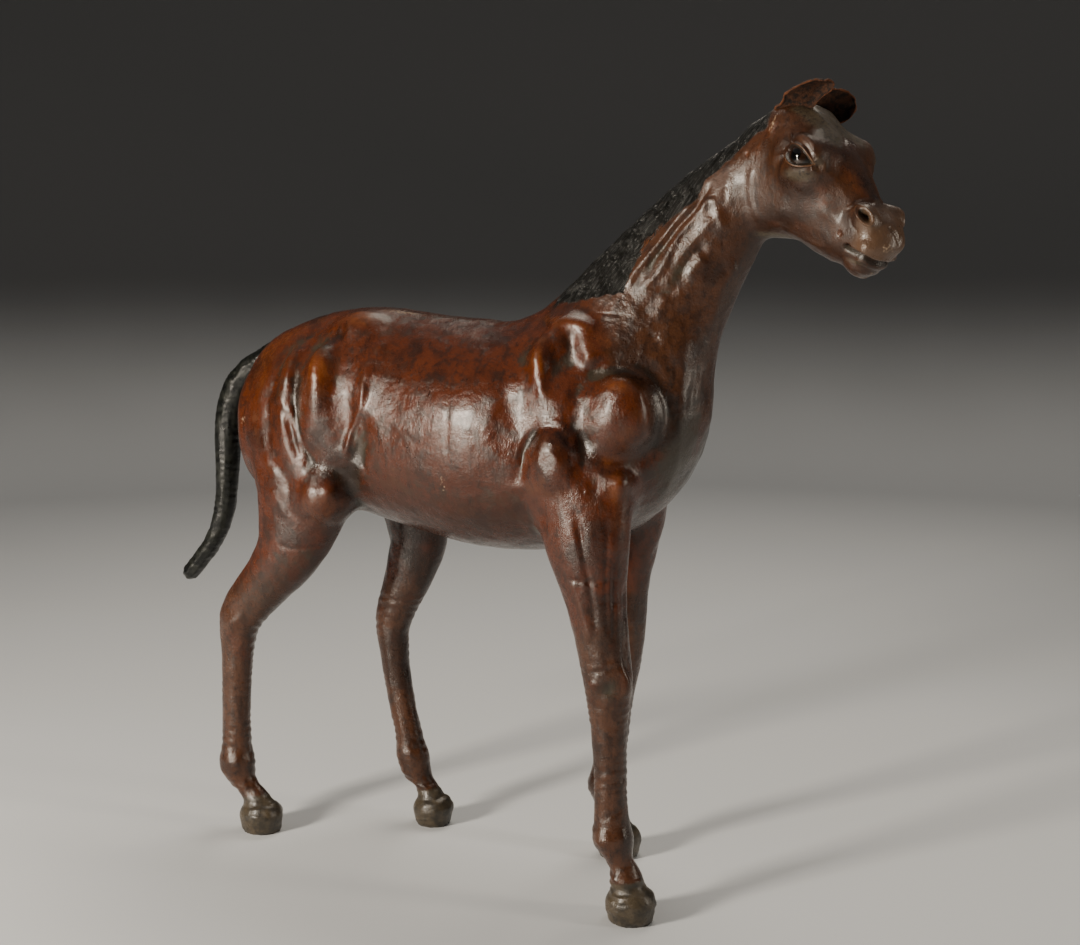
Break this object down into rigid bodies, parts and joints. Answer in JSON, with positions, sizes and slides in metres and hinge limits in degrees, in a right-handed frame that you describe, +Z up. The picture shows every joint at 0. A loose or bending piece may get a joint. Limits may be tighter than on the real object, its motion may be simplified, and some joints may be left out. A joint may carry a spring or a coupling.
{
  "type": "leather horse sculpture",
  "caption": "Standing horse figure with a turned head, covered in polished dark brown leather, with glass eyes, cut leather ears and a black tail.",
  "frame": {"origin": "middle of the bounding box, on the plane of the hoof soles", "axes": "+X to the horse's nose, +Y to its left side, +Z up"},
  "size_m": [0.8058, 0.2052, 0.7479],
  "materials": {
    "body_leather": "polished, worn on the high spots",
    "tail_leather": "polished black",
    "ear_leather": "matt, with raw cut edges",
    "eye_glass": "polished, opaque dark"
  },
  "bodies": {
    "root": {"horse_body": "body_leather", "tail": "tail_leather", "eye_left": "eye_glass", "eye_right": "eye_glass", "ear_left": "ear_leather", "ear_right": "ear_leather"}
  },
  "joints": []
}
